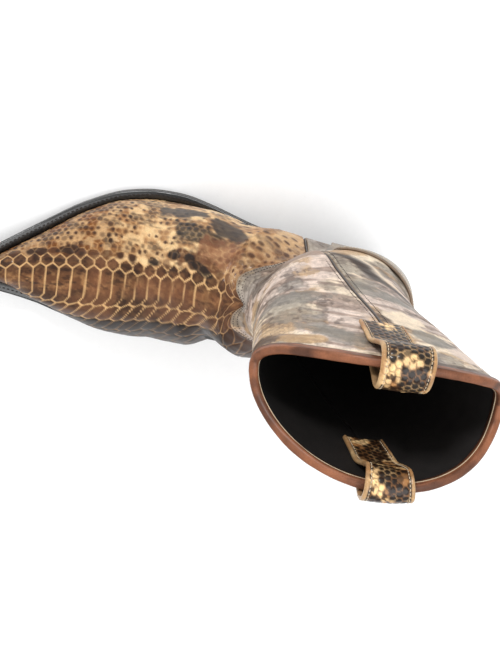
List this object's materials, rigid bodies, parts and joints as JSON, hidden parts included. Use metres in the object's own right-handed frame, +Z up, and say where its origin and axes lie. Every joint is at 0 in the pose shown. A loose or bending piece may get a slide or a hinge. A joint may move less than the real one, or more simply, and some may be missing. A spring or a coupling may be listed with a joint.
{
  "type": "western boot",
  "caption": "Right-foot Western boot with a pointed toe, snakeskin-pattern leather, scalloped top, looped pull straps and a stacked heel.",
  "frame": {"origin": "middle of the heel's bottom face, on the floor", "axes": "+Z up along the shaft, -Y towards the toe, +X towards the inner side of the foot"},
  "size_m": [0.1052, 0.3247, 0.2887],
  "materials": {
    "python_leather": "glossy",
    "shaft_leather": "satin",
    "sole_leather": "glossy",
    "rubber": "matte",
    "lining_leather": "matte",
    "binding_leather": "satin",
    "piping_leather": "satin",
    "board": "matte",
    "cork": "matte",
    "steel": "satin"
  },
  "bodies": {
    "boot": {"vamp": "python_leather", "counter": "python_leather", "shaft_front": "shaft_leather", "shaft_back": "shaft_leather", "outsole": "sole_leather", "welt": "sole_leather", "heel_rand": "sole_leather", "heel_lift_1": "sole_leather", "heel_lift_2": "sole_leather", "heel_lift_3": "sole_leather", "heel_wedge": "sole_leather", "top_lift": "rubber", "vamp_lining": "lining_leather", "shaft_lining_front": "lining_leather", "shaft_lining_back": "lining_leather", "sock_lining": "lining_leather", "top_binding": "binding_leather", "side_piping_left": "piping_leather", "side_piping_right": "piping_leather", "toe_stiffener": "board", "heel_stiffener": "board", "insole": "board", "cork_filler": "cork", "shank": "steel", "heel_nail_1": "steel", "heel_nail_2": "steel", "heel_nail_3": "steel", "heel_nail_4": "steel", "heel_nail_5": "steel"},
    "pull_strap_left": {"pull_strap_left": "python_leather"},
    "pull_strap_right": {"pull_strap_right": "python_leather"}
  },
  "joints": [
    {"name": "left_strap_bend", "type": "hinge", "parent": "boot", "child": "pull_strap_left", "pos_m": [0.0445, 0, 0.277], "axis": [0, 1, 0], "range_deg": [-25, 25], "stiffness_Nm_per_rad": 0.05, "deforming": ["pull_strap_left"]},
    {"name": "right_strap_bend", "type": "hinge", "parent": "boot", "child": "pull_strap_right", "pos_m": [-0.018, 0, 0.277], "axis": [0, 1, 0], "range_deg": [-25, 25], "stiffness_Nm_per_rad": 0.05, "deforming": ["pull_strap_right"]}
  ]
}
